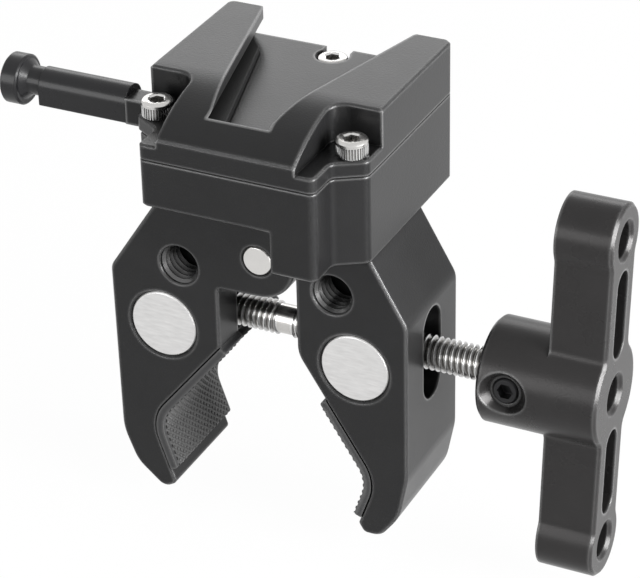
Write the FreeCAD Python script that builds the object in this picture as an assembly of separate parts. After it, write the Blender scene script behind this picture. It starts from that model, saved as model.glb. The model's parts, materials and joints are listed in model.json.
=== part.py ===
# Crab clamp with a V-lock quick-release top, in millimetres.
# The origin is the axis of the gripped tube, half way through the jaws' thickness.
# +X runs along the rod to the handle, -Y is the front, +Z is up.
import FreeCAD, Part
import math
import os

os.makedirs("parts", exist_ok=True)

Vector = FreeCAD.Vector

# jaws
jaw_half = 13.6
fixed_jaw_inner_x = 9.3
fixed_jaw_outer_x = 35.8
moving_jaw_inner_x = -10.1
moving_jaw_outer_x = -37.2
pad_thickness = 1.8
edge_break = 0.45

# rod and its nuts
rod_z = 28.0
fixed_nut_x = 23.1
moving_nut_x = -24.4
nut_radius = 8.2
nut_bore_lead = 0.55
pin_bore_lead = 0.4
nut_bore_gap = 0.08
nut_recess = 0.2
right_thread_radius = 3.97
left_thread_radius = 3.17
thread_gap = 0.2
shank_radius = 3.0
rod_left_x = -34.0
shank_start_x = -3.5
right_thread_start_x = 1.4
rod_slot_half_width = 4.7
rod_slot_half_height = 11.5

# hinge of the moving jaw, hung under the block
right_under_z = 56.0
hinge_drop = 6.1
hinge_z = right_under_z - hinge_drop
hinge_pin_radius = 3.5
hinge_pin_gap = 0.05
hinge_ear_radius = 9.0
lug_half_width = 4.5
lug_side_gap = 0.3

# block and plate
body_half_width = 27.6
front_inset = 6.8
front_half_width = body_half_width - front_inset
body_front_y = -26.7
body_rear_y = 30.1
leg_drop = 9.8
left_under_z = right_under_z + leg_drop
leg_left_x = 10.0
block_height = 11.2
seam_z = left_under_z + block_height
ear_inset = 1.2
rear_corner = 2.0
edge_soft = 0.5
seam_soft = 0.25
ramp_soft = 0.45
overrun = 5.0
ledge_thickness = 3.7
floor_thickness = 5.2
plate_height = 12.4
ramp_radius = 38.0
ramp_start_y = -4.7
pocket_inset = 4.4
pocket_wall_x = front_half_width - pocket_inset
pocket_wall_y = -7.3
pocket_corner = 4.0
ear_side_y = -14.4
ear_root_y = -18.6

# V recess
lip_y = -19.8
lip_half_width = pocket_wall_x * 0.415
vee_rear_half_width = body_half_width * 0.681
flange_lip_height = 2.6
undercut_depth = 3.4

# plate screws, M4
screw_inset = 4.44
screw_x = body_half_width - screw_inset
screw_y = -12.92
rear_screw_y = 26.1
screw_radius = 2.0
screw_hole_gap = 0.2
screw_head_radius = 3.5
screw_head_height = 4.0
screw_key_radius = 1.73
screw_key_depth = 2.2
screw_length = 12.0
rear_web = 1.0
rear_notch_radius = 3.9

# side threads, 3/8 inch
side_thread_radius = 4.76
side_thread_depth = 8.4
side_thread_mouth = 5.1
fixed_side_thread_x = 18.05
fixed_side_thread_z = hinge_z - 4.3
moving_side_thread_x = -19.7
moving_side_thread_z = hinge_z - 5.5

# handle
hub_left_x = 50.9
handle_face_x = 78.7
hub_radius = 12.0
bar_thickness = 13.1
lobe_radius = 8.3
lobe_reach = 36.3
arm_half_width = 6.9
handle_turn_deg = -5.1
lobe_hole_lead = 0.8
lobe_hole_radius = 4.0
arm_slot_half_width = 3.3
arm_slot_inner = 8.8
arm_slot_outer = 29.2
set_screw_x = 57.2
set_screw_radius = 3.0
set_screw_gap = 0.05
rod_hub_gap = 0.06
rod_in_hub = 20.5

# lever and latch
lever_pivot_inset = 4.3
lever_pivot_x = lever_pivot_inset - body_half_width
lever_pivot_y = 3.0
lever_pin_radius = 1.25
lever_hub_radius = 2.9
lever_plate_z = seam_z + 0.15
lever_plate_thickness = 2.15
tongue_low_z = seam_z - 0.9
tongue_high_z = seam_z + 5.2
tongue_front_y = -11.6
tongue_depth = 5.4
sleeve_inner_x = -body_half_width - 4.5
sleeve_outer_x = sleeve_inner_x - 22.0
sleeve_depth = 7.6
sleeve_height = 7.8
neck_radius = 3.3
disc_radius = 5.75
disc_right_x = sleeve_outer_x - 4.6
disc_left_x = disc_right_x - 4.3
latch_top_z = seam_z + 7.0
latch_travel = 2.7
latch_gap = 0.15
latch_show_front = 3.0
latch_show_rear = 1.1
latch_outer_x = latch_travel + latch_gap + 1.15 - pocket_wall_x
latch_outer_y = pocket_wall_y
peg_x = latch_outer_x + 2.3
peg_y = -6.5
peg_radius = 1.2
peg_top_z = seam_z + 4.8
peg_sweep = 3.0
spring_radius = 1.4
spring_wire_radius = 0.2
spring_z = seam_z + 4.7
spring_room_gap = 0.2
spring_length = 7.2
front_spring_y = -0.2
front_spring_seat_x = lever_pivot_x + 1.7
front_spring_end_x = front_spring_seat_x + spring_length
rear_spring_y = 11.0
rear_spring_seat_x = 1.4 - body_half_width
rear_spring_end_x = rear_spring_seat_x + spring_length

flange_z = seam_z + plate_height
floor_z = seam_z + floor_thickness
ledge_z = seam_z + ledge_thickness


def rounded_face(corners, to_point):
    """Make a flat face from corners given as (u, v, radius)."""
    count = len(corners)
    edges = []
    starts = []
    ends = []
    middles = []
    for index in range(count):
        u, v, radius = corners[index]
        before = corners[index - 1]
        after = corners[(index + 1) % count]
        here = Vector(u, v, 0)
        if radius <= 0:
            starts.append(here)
            ends.append(here)
            middles.append(None)
            continue
        back = Vector(before[0] - u, before[1] - v, 0)
        ahead = Vector(after[0] - u, after[1] - v, 0)
        back.normalize()
        ahead.normalize()
        angle = back.getAngle(ahead)
        tangent = radius / math.tan(angle / 2.0)
        bisector = back + ahead
        bisector.normalize()
        centre = here + bisector * (radius / math.sin(angle / 2.0))
        starts.append(here + back * tangent)
        ends.append(here + ahead * tangent)
        middles.append(centre - bisector * radius)
    for index in range(count):
        if middles[index] is not None:
            first = to_point(starts[index].x, starts[index].y)
            middle = to_point(middles[index].x, middles[index].y)
            last = to_point(ends[index].x, ends[index].y)
            edges.append(Part.Arc(first, middle, last).toShape())
        follower = (index + 1) % count
        if (starts[follower] - ends[index]).Length > 1e-6:
            first = to_point(ends[index].x, ends[index].y)
            last = to_point(starts[follower].x, starts[follower].y)
            edges.append(Part.makeLine(first, last))
    return Part.Face(Part.Wire(edges))


def upright(corners, low_z, high_z):
    """Extrude a plan outline from low_z to high_z."""
    face = rounded_face(corners, lambda u, v: Vector(u, v, low_z))
    return face.extrude(Vector(0, 0, high_z - low_z))


def across(corners, front_y, rear_y):
    """Extrude a side profile in X and Z from front_y to rear_y."""
    face = rounded_face(corners, lambda u, v: Vector(u, front_y, v))
    return face.extrude(Vector(0, rear_y - front_y, 0))


def along(corners, left_x, right_x):
    """Extrude a profile in Y and Z from left_x to right_x."""
    face = rounded_face(corners, lambda u, v: Vector(left_x, u, v))
    return face.extrude(Vector(right_x - left_x, 0, 0))


def box(low, high):
    size = Vector(*high) - Vector(*low)
    return Part.makeBox(size.x, size.y, size.z, Vector(*low))


def cylinder(radius, start, direction, length):
    return Part.makeCylinder(radius, length, Vector(*start), Vector(*direction))


def cone(start_radius, end_radius, start, direction, length):
    return Part.makeCone(start_radius, end_radius, length, Vector(*start), Vector(*direction))


def slot_along_x(left_x, right_x, centre_z):
    """An upright round-ended slot that clears the rod as it tilts."""
    reach = rod_slot_half_height - rod_slot_half_width
    middle = box((left_x, -rod_slot_half_width, centre_z - reach),
                 (right_x, rod_slot_half_width, centre_z + reach))
    top = cylinder(rod_slot_half_width, (left_x, 0, centre_z + reach), (1, 0, 0), right_x - left_x)
    bottom = cylinder(rod_slot_half_width, (left_x, 0, centre_z - reach), (1, 0, 0), right_x - left_x)
    return middle.fuse([top, bottom]).removeSplitter()


def hexagon(radius, centre, low_z, high_z):
    points = []
    for index in range(6):
        angle = math.radians(60 * index)
        points.append((centre[0] + radius * math.cos(angle), centre[1] + radius * math.sin(angle), 0))
    return upright(points, low_z, high_z)


def offset_path(points, distance):
    """Shift an open path to its left by distance, keeping its corners sharp."""
    shifted = []
    for index in range(len(points)):
        here = Vector(points[index][0], points[index][1], 0)
        normals = []
        if index > 0:
            step = here - Vector(points[index - 1][0], points[index - 1][1], 0)
            step.normalize()
            normals.append(Vector(-step.y, step.x, 0))
        if index < len(points) - 1:
            step = Vector(points[index + 1][0], points[index + 1][1], 0) - here
            step.normalize()
            normals.append(Vector(-step.y, step.x, 0))
        if len(normals) == 1:
            move = normals[0] * distance
        else:
            total = normals[0] + normals[1]
            move = total * (distance / (1.0 + normals[0].dot(normals[1])))
        shifted.append((here.x + move.x, here.y + move.y))
    return shifted


def soften(shape, picks, size):
    """Chamfer the edges that a test picks out."""
    edges = [edge for edge in shape.Edges if picks(edge)]
    if not edges:
        return shape
    return shape.makeChamfer(size, edges)


def flat_at_y(edge, level):
    box_of_edge = edge.BoundBox
    return abs(box_of_edge.YMin - level) < 1e-4 and abs(box_of_edge.YMax - level) < 1e-4


def flat_at_z(edge, level):
    box_of_edge = edge.BoundBox
    return abs(box_of_edge.ZMin - level) < 1e-4 and abs(box_of_edge.ZMax - level) < 1e-4


def flat_at_x(edge, level):
    box_of_edge = edge.BoundBox
    return abs(box_of_edge.XMin - level) < 1e-4 and abs(box_of_edge.XMax - level) < 1e-4


def save(shape, name):
    shape.exportStep("parts/" + name + ".step")


def body_plan(half_width):
    """Plan outline of the block and plate, with a narrower front and two screw ears."""
    corners = []
    for side in (1, -1):
        run = [
            (side * front_half_width, body_front_y, 1.6),
            (side * front_half_width, ear_root_y, 2.2),
            (side * half_width, ear_side_y, 2.0),
            (side * half_width, body_rear_y, rear_corner),
        ]
        if side < 0:
            run.reverse()
        corners.extend(run)
    return corners


def beyond(start, end, level):
    """Point at height level on the straight line through start and end."""
    share = (level - start[1]) / (end[1] - start[1])
    return (start[0] + share * (end[0] - start[0]), level)


# Side profiles of the jaws: the pad seats come first, since the pads follow them.
hollow_radius = 10.0
fixed_heel = (fixed_jaw_inner_x, 28.5)
fixed_hollow = (27.9, -0.6)
fixed_lip = (24.2, -11.0)
fixed_tip = beyond(fixed_hollow, fixed_lip, -12.8)
fixed_seat = [beyond(fixed_heel, fixed_hollow, 18.0), fixed_hollow, fixed_lip]
moving_heel = (moving_jaw_inner_x, 25.0)
moving_hollow = (-29.0, 1.8)
moving_lip = (-24.5, -11.3)
moving_tip = beyond(moving_hollow, moving_lip, -14.9)
moving_seat = [moving_heel, moving_hollow, moving_lip]

fixed_profile = [
    (fixed_jaw_inner_x, right_under_z + 2.0, 0),
    (fixed_heel[0], fixed_heel[1], 7.0),
    (fixed_hollow[0], fixed_hollow[1], hollow_radius),
    (fixed_tip[0], fixed_tip[1], 0.9),
    (fixed_tip[0] + 1.3, fixed_tip[1] - 2.2, 1.5),
    (28.9, -15.0, 4.0),
    (33.6, -8.8, 12.0),
    (fixed_jaw_outer_x, 2.0, 12.0),
    (fixed_jaw_outer_x, right_under_z - 14.7, 5.0),
    (body_half_width - 1.4, right_under_z + 2.0, 0),
]
moving_top_z = left_under_z - 2.2
moving_profile = [
    (moving_heel[0], moving_heel[1], 0),
    (moving_jaw_inner_x, hinge_z - hinge_ear_radius - 0.3, 1.0),
    (0.0, hinge_z - hinge_ear_radius, 0),
    (0.0, hinge_z + hinge_ear_radius, 0),
    (-9.5, moving_top_z, 3.0),
    (-21.9, moving_top_z, 3.0),
    (moving_jaw_outer_x, moving_top_z - 23.2, 4.0),
    (-36.7, -3.0, 14.0),
    (-33.4, -11.2, 9.0),
    (-26.6, -16.9, 2.6),
    (moving_tip[0], moving_tip[1], 1.3),
    (moving_hollow[0], moving_hollow[1], hollow_radius),
]


def pad_profile(seat, side):
    """Pad outline: its seat on the jaw, and the same path moved out by the pad's thickness."""
    outer = offset_path(seat, side * pad_thickness)
    profile = [
        (seat[0][0], seat[0][1], 0),
        (seat[1][0], seat[1][1], hollow_radius),
        (seat[2][0], seat[2][1], 0),
        (outer[2][0], outer[2][1], 0.6),
        (outer[1][0], outer[1][1], hollow_radius - pad_thickness),
        (outer[0][0], outer[0][1], 0.6),
    ]
    return profile


# Clamp body: block, hinge lug and fixed jaw as one casting.
def side_thread(centre_x, centre_z):
    """Blind threaded hole from the front face, with a countersunk mouth."""
    hole = cylinder(side_thread_radius, (centre_x, -jaw_half, centre_z), (0, 1, 0), side_thread_depth)
    mouth_depth = side_thread_mouth - side_thread_radius
    mouth_start = (centre_x, -jaw_half, centre_z)
    mouth = cone(side_thread_mouth, side_thread_radius, mouth_start, (0, 1, 0), mouth_depth)
    return hole.fuse(mouth)


def nut_bore(centre_x):
    bore_radius = nut_radius + nut_bore_gap
    bore = cylinder(bore_radius, (centre_x, -jaw_half - 1, rod_z), (0, 1, 0), 2 * jaw_half + 2)
    mouth_radius = bore_radius + nut_bore_lead
    front = cone(mouth_radius, bore_radius, (centre_x, -jaw_half, rod_z), (0, 1, 0), nut_bore_lead)
    rear = cone(mouth_radius, bore_radius, (centre_x, jaw_half, rod_z), (0, -1, 0), nut_bore_lead)
    return bore.fuse([front, rear])


def left_under_edge(edge):
    return flat_at_z(edge, left_under_z) and edge.BoundBox.XMin < leg_left_x


upper = upright(body_plan(body_half_width), left_under_z, seam_z)
lower_plan = [
    (leg_left_x, body_front_y, 0.6),
    (front_half_width, body_front_y, 1.6),
    (front_half_width, ear_root_y, 2.2),
    (body_half_width, ear_side_y, 2.0),
    (body_half_width, body_rear_y, rear_corner),
    (leg_left_x, body_rear_y, 0.6),
]
lower = upright(lower_plan, right_under_z, left_under_z + 1.0)
ear_cut = box((-body_half_width - overrun, body_front_y, left_under_z - overrun),
              (ear_inset - body_half_width, body_rear_y, seam_z + overrun))
upper = upper.cut(ear_cut)
upper = soften(upper, lambda edge: flat_at_z(edge, seam_z), seam_soft)
upper = soften(upper, left_under_edge, 0.5)
lower = soften(lower, lambda edge: flat_at_z(edge, right_under_z), 0.4)

fixed_jaw = across(fixed_profile, -jaw_half, jaw_half)


def front_or_back(edge):
    return flat_at_y(edge, -jaw_half) or flat_at_y(edge, jaw_half)


def low_front_or_back(edge):
    return front_or_back(edge) and edge.BoundBox.ZMax < right_under_z + 1.9


fixed_jaw = soften(fixed_jaw, low_front_or_back, edge_break)

lug = cylinder(hinge_ear_radius, (0, -lug_half_width, hinge_z), (0, 1, 0), 2 * lug_half_width)
lug_right_x = leg_left_x + 2
lug_low_z = hinge_z - hinge_ear_radius + 1.5
lug_arm = box((-hinge_ear_radius + 0.4, -lug_half_width, hinge_z),
              (lug_right_x, lug_half_width, left_under_z + 2))
lug_foot = box((0, -lug_half_width, lug_low_z), (lug_right_x, lug_half_width, hinge_z))

clamp_body = upper.fuse([lower, fixed_jaw, lug, lug_arm, lug_foot]).removeSplitter()
clamp_body = clamp_body.cut(nut_bore(fixed_nut_x))
clamp_body = clamp_body.cut(slot_along_x(0.0, fixed_jaw_outer_x + overrun, rod_z))
clamp_body = clamp_body.cut(side_thread(fixed_side_thread_x, fixed_side_thread_z))
pin_bore_half = jaw_half + overrun
pin_bore = cylinder(hinge_pin_radius, (0, -pin_bore_half, hinge_z), (0, 1, 0), 2 * pin_bore_half)
clamp_body = clamp_body.cut(pin_bore)

screw_places = {
    "plate_screw_left": (-screw_x, screw_y, ledge_z),
    "plate_screw_right": (screw_x, screw_y, ledge_z),
    "plate_screw_rear": (0.0, rear_screw_y, seam_z + rear_web),
}
for place in screw_places.values():
    depth = screw_length - (place[2] - seam_z)
    thread = cylinder(screw_radius, (place[0], place[1], seam_z - depth), (0, 0, 1), depth)
    clamp_body = clamp_body.cut(thread)

# The tongue dips under the seam, so the block is relieved for its swing.
tongue_gap = 0.4
lever_turn_y = pocket_wall_y + 4.8
screw_side_y = screw_y + 3.0
tongue_relief = upright([
    (-body_half_width - overrun, tongue_front_y - tongue_gap, 0),
    (lever_pivot_x - 2.9, tongue_front_y - tongue_gap, 0),
    (lever_pivot_x - 2.9, screw_side_y - 0.7, 0),
    (lever_pivot_x - 1.3, screw_side_y, 0),
    (lever_pivot_x + 0.3, screw_side_y, 0),
    (lever_pivot_x + 0.3, lever_turn_y, 0),
    (-body_half_width - overrun, lever_turn_y, 0),
], tongue_low_z - 0.25, seam_z + overrun)
clamp_body = clamp_body.cut(tongue_relief)
pin_depth = 5.0
pivot_low = (lever_pivot_x, lever_pivot_y, seam_z - pin_depth)
pivot_hole = cylinder(lever_pin_radius, pivot_low, (0, 0, 1), pin_depth)
clamp_body = clamp_body.cut(pivot_hole)
save(clamp_body, "clamp_body")


# Top plate with the ramped front, two screw pockets and the V recess.
plate = upright(body_plan(body_half_width), seam_z, flange_z)
ramp_centre_z = flange_z - ramp_radius
ramp_low_y = body_front_y - overrun
ramp_side_x = body_half_width + overrun
keep_below = cylinder(ramp_radius, (-ramp_side_x, ramp_start_y, ramp_centre_z), (1, 0, 0), 2 * ramp_side_x)
ramp_block = box((-ramp_side_x, ramp_low_y, seam_z), (ramp_side_x, ramp_start_y, flange_z + overrun))
plate = plate.cut(ramp_block.cut(keep_below))
for side in (1, -1):
    pocket = upright([
        (side * pocket_wall_x, body_front_y - overrun, 0),
        (side * (body_half_width + overrun), body_front_y - overrun, 0),
        (side * (body_half_width + overrun), pocket_wall_y, 0),
        (side * pocket_wall_x, pocket_wall_y, pocket_corner),
    ], ledge_z, flange_z + overrun)
    plate = plate.cut(pocket)


def soft_top(edge):
    """Top edges of the flanges, outside the V recess."""
    box_of_edge = edge.BoundBox
    if not flat_at_z(edge, flange_z):
        return False
    return box_of_edge.YMax > ramp_start_y + 0.1


def ledge_rim(edge):
    """Outer rim of the two screw ledges, in front of the pocket walls."""
    box_of_edge = edge.BoundBox
    if not flat_at_z(edge, ledge_z):
        return False
    if abs(box_of_edge.Center.x) < pocket_wall_x + 0.5:
        return False
    return box_of_edge.YMax < -12.5


def ramp_rim(edge):
    """Front and side edges of the curved ramp."""
    box_of_edge = edge.BoundBox
    if box_of_edge.ZMin < ledge_z + 0.5 or box_of_edge.YMax > pocket_wall_y:
        return False
    at_side = abs(abs(box_of_edge.Center.x) - pocket_wall_x) < 0.01 and box_of_edge.XLength < 0.01
    at_front = abs(box_of_edge.Center.y - body_front_y) < 0.01 and box_of_edge.ZLength < 0.01
    return (at_side and box_of_edge.YLength > 5.0) or at_front


plate = soften(plate, ramp_rim, ramp_soft)
plate = soften(plate, soft_top, edge_soft)
plate = soften(plate, ledge_rim, ramp_soft)
plate = soften(plate, lambda edge: flat_at_z(edge, seam_z), seam_soft)


def vee_half_width(y):
    share = (y - lip_y) / (body_rear_y - lip_y)
    return lip_half_width + share * (vee_rear_half_width - lip_half_width)


vee_end_y = body_rear_y + overrun
lip_width = vee_half_width(lip_y)
end_width = vee_half_width(vee_end_y)
undercut_z = flange_z - flange_lip_height
mouth_width = vee_half_width(body_rear_y)
mouth_flare = mouth_width + overrun
vee_top = upright([
    (-lip_width, lip_y, 0.5),
    (lip_width, lip_y, 0.5),
    (mouth_width, body_rear_y, rear_corner),
    (mouth_flare, body_rear_y, 0),
    (mouth_flare, vee_end_y, 0),
    (-mouth_flare, vee_end_y, 0),
    (-mouth_flare, body_rear_y, 0),
    (-mouth_width, body_rear_y, rear_corner),
], floor_z, flange_z + overrun)


def vee_wire(level, extra):
    points = [
        Vector(-lip_width - extra, lip_y, level),
        Vector(lip_width + extra, lip_y, level),
        Vector(end_width + extra, vee_end_y, level),
        Vector(-end_width - extra, vee_end_y, level),
        Vector(-lip_width - extra, lip_y, level),
    ]
    return Part.makePolygon(points)


vee_under = Part.makeLoft([vee_wire(floor_z, undercut_depth), vee_wire(undercut_z, 0.0)], True, True)
plate = plate.cut(vee_top)
plate = plate.cut(vee_under)

for place in screw_places.values():
    hole = cylinder(screw_radius + screw_hole_gap, (place[0], place[1], seam_z - overrun), (0, 0, 1),
                    plate_height + 2 * overrun)
    plate = plate.cut(hole)
rear_notch = cylinder(rear_notch_radius, (0, rear_screw_y, seam_z + rear_web), (0, 0, 1), plate_height)
rear_gap_half = rear_notch_radius - 0.6
rear_gap = box((-rear_gap_half, rear_screw_y, seam_z + rear_web),
               (rear_gap_half, body_rear_y + overrun, flange_z + overrun))
plate = plate.cut(rear_notch)
plate = plate.cut(rear_gap)


latch_front_y = lip_y + 0.3
latch_rear_y = body_rear_y - 4.2
latch_turn_y = latch_rear_y - 5.8
latch_back_x = 5.1 - body_half_width
latch_tail_x = latch_back_x + 2.4
latch_back_y = latch_turn_y - 4.1


def latch_edge_x(y):
    """Inner edge of the latch bar at rest, a little more slanted than the V wall."""
    share = (y - lip_y) / (latch_turn_y - lip_y)
    show = latch_show_front + share * (latch_show_rear - latch_show_front)
    return show - vee_half_width(y)


latch_corners = [
    (latch_edge_x(latch_front_y), latch_front_y, 0.3),
    (latch_edge_x(latch_turn_y), latch_turn_y, 1.0),
    (latch_tail_x, latch_rear_y, 0.8),
    (latch_back_x, latch_rear_y, 0.5),
    (latch_back_x, latch_back_y, 0),
    (latch_outer_x, latch_outer_y, 0),
    (latch_outer_x, latch_front_y, 0.5),
]
latch_back_shift = latch_travel + latch_gap
latch_window = [
    (latch_edge_x(latch_front_y) + latch_gap, lip_y, 0),
    (latch_edge_x(latch_turn_y) + latch_gap, latch_turn_y, 0),
    (latch_tail_x + latch_gap, latch_rear_y + latch_gap, 0),
    (latch_back_x - latch_back_shift, latch_rear_y + latch_gap, 0),
    (latch_back_x - latch_back_shift, latch_back_y, 0),
    (latch_outer_x - latch_back_shift, latch_outer_y, 0),
    (latch_outer_x - latch_back_shift, lip_y, 0),
]
plate = plate.cut(upright(latch_window, seam_z - overrun, latch_top_z + 0.2))

side_wall_x = 1.0 - body_half_width
room_front_y = peg_y - 4.7
room_rear_y = lever_pivot_y + 3.3
lever_room = upright([
    (peg_x + 2.1, room_front_y, 0),
    (lever_pivot_x + 3.3, room_front_y, 1.0),
    (lever_pivot_x + 1.8, screw_side_y + 0.3, 1.0),
    (lever_pivot_x - 1.3, screw_side_y, 0),
    (lever_pivot_x - 2.9, screw_side_y - 0.7, 0),
    (lever_pivot_x - 2.9, tongue_front_y - tongue_gap, 0),
    (-body_half_width - overrun, tongue_front_y - tongue_gap, 0),
    (-body_half_width - overrun, lever_turn_y, 0),
    (side_wall_x, lever_turn_y, 0),
    (side_wall_x, room_rear_y, 1.5),
    (lever_pivot_x + 3.3, room_rear_y, 1.5),
    (peg_x - 0.4, peg_y + 3.3, 0),
    (peg_x + 2.1, peg_y + 3.3, 0),
], seam_z - overrun, lever_plate_z + lever_plate_thickness + 0.2)
tongue_room = upright([
    (lever_pivot_x + 0.9, screw_side_y - 0.1, 0),
    (lever_pivot_x - 2.9, screw_side_y - 0.7, 0),
    (lever_pivot_x - 2.9, tongue_front_y - tongue_gap, 0),
    (-body_half_width - overrun, tongue_front_y - tongue_gap, 0),
    (-body_half_width - overrun, lever_turn_y, 0),
    (lever_pivot_x + 0.9, lever_turn_y, 0),
], seam_z - overrun, tongue_high_z + 0.25)
plate = plate.cut(lever_room)
plate = plate.cut(tongue_room)
pin_reach = 8.0
plate = plate.cut(cylinder(lever_pin_radius, (lever_pivot_x, lever_pivot_y, seam_z), (0, 0, 1), pin_reach))
spring_room_radius = spring_radius + spring_room_gap
for seat_x, centre_y in ((front_spring_seat_x, front_spring_y), (rear_spring_seat_x, rear_spring_y)):
    seat_start = (seat_x, centre_y, spring_z)
    plate = plate.cut(cylinder(spring_room_radius, seat_start, (1, 0, 0), spring_length * 0.8))
save(plate, "top_plate")


# Plate screws.
for name, place in screw_places.items():
    shank = cylinder(screw_radius, (place[0], place[1], place[2] - screw_length), (0, 0, 1), screw_length)
    head = cylinder(screw_head_radius, place, (0, 0, 1), screw_head_height)
    head = soften(head, lambda edge: flat_at_z(edge, place[2] + screw_head_height), 0.35)
    head_top = place[2] + screw_head_height
    socket = hexagon(screw_key_radius, (place[0], place[1]), head_top - screw_key_depth, head_top + 1)
    save(shank.fuse(head).removeSplitter().cut(socket), name)


# Moving jaw, drawn open as in the photograph.
moving_jaw = across(moving_profile, -jaw_half, jaw_half)
ear = cylinder(hinge_ear_radius, (0, -jaw_half, hinge_z), (0, 1, 0), 2 * jaw_half)
moving_jaw = moving_jaw.fuse(ear).removeSplitter()
moving_jaw = soften(moving_jaw, front_or_back, edge_break)
lug_room_half = lug_half_width + lug_side_gap
lug_room = cylinder(hinge_ear_radius + 0.6, (0, -lug_room_half, hinge_z), (0, 1, 0), 2 * lug_room_half)
lug_room_reach = hinge_ear_radius + overrun
lug_room_left_x = -hinge_ear_radius - 0.4
lug_room_low_z = hinge_z - lug_room_reach
lug_room_top = box((lug_room_left_x, -lug_room_half, hinge_z),
                   (lug_room_reach, lug_room_half, seam_z))
lug_room_side = box((0, -lug_room_half, lug_room_low_z), (lug_room_reach, lug_room_half, hinge_z))
moving_jaw = moving_jaw.cut(lug_room)
moving_jaw = moving_jaw.cut(lug_room_top)
moving_jaw = moving_jaw.cut(lug_room_side)
moving_jaw = moving_jaw.cut(nut_bore(moving_nut_x))
moving_jaw = moving_jaw.cut(slot_along_x(moving_jaw_outer_x - overrun, 0.0, rod_z))
moving_jaw = moving_jaw.cut(side_thread(moving_side_thread_x, moving_side_thread_z))
ear_bore_radius = hinge_pin_radius + hinge_pin_gap
ear_bore = cylinder(ear_bore_radius, (0, -pin_bore_half, hinge_z), (0, 1, 0), 2 * pin_bore_half)
ear_mouth_radius = ear_bore_radius + pin_bore_lead
for side in (1, -1):
    ear_mouth_start = (0, side * jaw_half, hinge_z)
    ear_mouth = cone(ear_mouth_radius, ear_bore_radius, ear_mouth_start, (0, -side, 0), pin_bore_lead)
    ear_bore = ear_bore.fuse(ear_mouth)
moving_jaw = moving_jaw.cut(ear_bore)
save(moving_jaw, "moving_jaw")

hinge_pin = cylinder(hinge_pin_radius, (0, -jaw_half, hinge_z), (0, 1, 0), 2 * jaw_half)
hinge_pin = soften(hinge_pin, front_or_back, 0.3)
save(hinge_pin, "hinge_pin")


# Pads.
fixed_pad = across(pad_profile(fixed_seat, -1), -jaw_half, jaw_half)
fixed_pad = fixed_pad.cut(slot_along_x(0.0, fixed_jaw_outer_x, rod_z))
save(fixed_pad, "fixed_pad")
moving_pad = across(pad_profile(moving_seat, 1), -jaw_half, jaw_half)
moving_pad = moving_pad.cut(slot_along_x(moving_jaw_outer_x, 0.0, rod_z))
save(moving_pad, "moving_pad")


# Barrel nuts and rod.
def barrel_nut(centre_x, thread_radius):
    half = jaw_half - nut_recess
    nut = cylinder(nut_radius, (centre_x, -half, rod_z), (0, 1, 0), 2 * half)
    nut = soften(nut, lambda edge: flat_at_y(edge, -half) or flat_at_y(edge, half), 0.35)
    hole_half = nut_radius + overrun
    hole = cylinder(thread_radius + thread_gap, (centre_x - hole_half, 0, rod_z), (1, 0, 0), 2 * hole_half)
    return nut.cut(hole)


save(barrel_nut(fixed_nut_x, right_thread_radius), "fixed_nut")
save(barrel_nut(moving_nut_x, left_thread_radius), "moving_nut")

rod_right_x = hub_left_x + rod_in_hub
left_thread = cylinder(left_thread_radius, (rod_left_x, 0, rod_z), (1, 0, 0), shank_start_x - rod_left_x)
shank_length = right_thread_start_x - shank_start_x
shank = cylinder(shank_radius, (shank_start_x, 0, rod_z), (1, 0, 0), shank_length)
right_thread_length = rod_right_x - right_thread_start_x
right_thread = cylinder(right_thread_radius, (right_thread_start_x, 0, rod_z), (1, 0, 0), right_thread_length)
rod = left_thread.fuse([shank, right_thread])
rod = soften(rod, lambda edge: flat_at_x(edge, rod_left_x) or flat_at_x(edge, rod_right_x), 0.6)
save(rod, "clamp_rod")


# T-handle, turned a little about the rod as in the photograph.
bar_left_x = handle_face_x - bar_thickness
handle_length = handle_face_x - hub_left_x
hub = cylinder(hub_radius, (hub_left_x, 0, 0), (1, 0, 0), handle_face_x - hub_left_x)
arm_corners = [
    (-arm_half_width, -lobe_reach, 0),
    (arm_half_width, -lobe_reach, 0),
    (arm_half_width, lobe_reach, 0),
    (-arm_half_width, lobe_reach, 0),
]
handle = hub.fuse(along(arm_corners, bar_left_x, handle_face_x))
for side in (1, -1):
    lobe = cylinder(lobe_radius, (bar_left_x, 0, side * lobe_reach), (1, 0, 0), bar_thickness)
    handle = handle.fuse(lobe)
handle = handle.removeSplitter()


def blend_corner(edge):
    """Inner corners where the arms meet the hub and the lobes."""
    box_of_edge = edge.BoundBox
    if box_of_edge.YLength > 1e-4 or box_of_edge.ZLength > 1e-4:
        return False
    is_full_depth = box_of_edge.XLength > bar_thickness - 0.01
    return is_full_depth and abs(abs(box_of_edge.YMin) - arm_half_width) < 1e-3


blends = [edge for edge in handle.Edges if blend_corner(edge)]
handle = handle.makeFillet(3.0, blends)


def end_face_edge(edge):
    return flat_at_x(edge, handle_face_x) or flat_at_x(edge, hub_left_x)


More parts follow.
